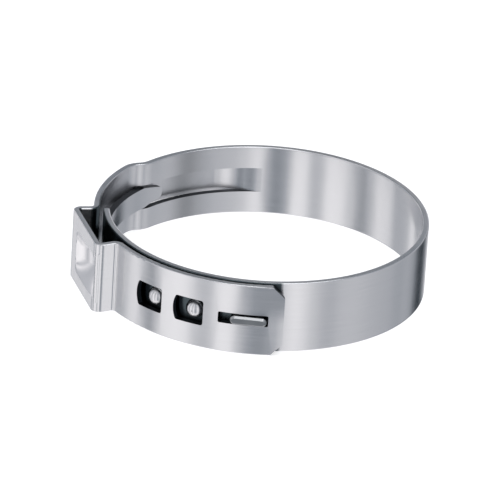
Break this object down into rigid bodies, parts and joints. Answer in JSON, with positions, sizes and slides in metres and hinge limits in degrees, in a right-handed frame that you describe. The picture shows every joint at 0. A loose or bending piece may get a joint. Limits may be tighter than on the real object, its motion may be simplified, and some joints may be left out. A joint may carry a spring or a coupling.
{
  "type": "ear hose clamp",
  "caption": "Stepless ear clamp for hoses, folded from a single steel strip, with a pinch ear, hooks in locking windows, a guide slot and a tongue in a groove.",
  "frame": {"origin": "middle of the ring that the hose passes through, at half the width of the band", "axes": "+Z along the hose axis, -X towards the middle of the ear, so the layers overlap on the -Y side"},
  "size_m": [0.0333, 0.0324, 0.007],
  "materials": {
    "stainless": "bright rolled stainless steel strip, smooth, with sheared edges"
  },
  "bodies": {
    "root": {"clamp_band": "stainless"}
  },
  "joints": []
}
